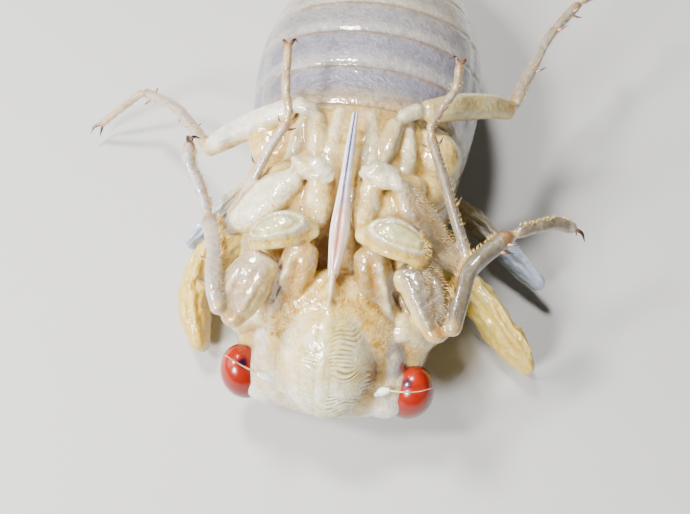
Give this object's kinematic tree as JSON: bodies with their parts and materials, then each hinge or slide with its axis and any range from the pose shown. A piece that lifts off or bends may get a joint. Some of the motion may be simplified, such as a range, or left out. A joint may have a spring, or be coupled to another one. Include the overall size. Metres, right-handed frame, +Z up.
{
  "type": "freshly moulted periodical cicada",
  "caption": "Freshly moulted cicada lying on its back: cream body, red eyes, ridged face, beak along the belly, folded legs and soft unspread wing pads.",
  "frame": {"origin": "middle of the box round the whole model, on the surface it lies on", "axes": "+X towards the animal's right, +Y from head to tail, +Z up through the belly"},
  "size_m": [0.0286, 0.0292, 0.011],
  "materials": {
    "body_cuticle": "soft damp cream cuticle, amber in the creases",
    "limb_cuticle": "translucent milky cuticle with a faint lavender cast",
    "abdomen_skin": "stretched bluish white skin, slightly glossy",
    "wing_pad": "soft crumpled pads, cream yellow to milky at the tips",
    "eye": "glossy orange red compound eye"
  },
  "bodies": {
    "root": {"abdomen": "abdomen_skin", "antenna_left": "limb_cuticle", "antenna_right": "limb_cuticle", "eye_left": "eye", "eye_right": "eye", "fore_left_coxa": "body_cuticle", "fore_left_femur": "body_cuticle", "fore_left_tarsus": "limb_cuticle", "fore_left_tibia": "limb_cuticle", "fore_left_trochanter": "body_cuticle", "fore_right_coxa": "body_cuticle", "fore_right_femur": "body_cuticle", "fore_right_tarsus": "limb_cuticle", "fore_right_tibia": "limb_cuticle", "fore_right_trochanter": "body_cuticle", "forewing_left": "wing_pad", "forewing_right": "wing_pad", "head": "body_cuticle", "hind_left_coxa": "body_cuticle", "hind_left_femur": "body_cuticle", "hind_left_tarsus": "limb_cuticle", "hind_left_tibia": "limb_cuticle", "hind_left_trochanter": "body_cuticle", "hind_right_coxa": "body_cuticle", "hind_right_femur": "body_cuticle", "hind_right_tarsus": "limb_cuticle", "hind_right_tibia": "limb_cuticle", "hind_right_trochanter": "body_cuticle", "hindwing_left": "wing_pad", "hindwing_right": "wing_pad", "mesothorax": "body_cuticle", "metathorax": "body_cuticle", "middle_left_coxa": "body_cuticle", "middle_left_femur": "body_cuticle", "middle_left_tarsus": "limb_cuticle", "middle_left_tibia": "limb_cuticle", "middle_left_trochanter": "body_cuticle", "middle_right_coxa": "body_cuticle", "middle_right_femur": "body_cuticle", "middle_right_tarsus": "limb_cuticle", "middle_right_tibia": "limb_cuticle", "middle_right_trochanter": "body_cuticle", "postclypeus": "body_cuticle", "pronotum": "body_cuticle", "rostrum": "body_cuticle"}
  },
  "joints": []
}
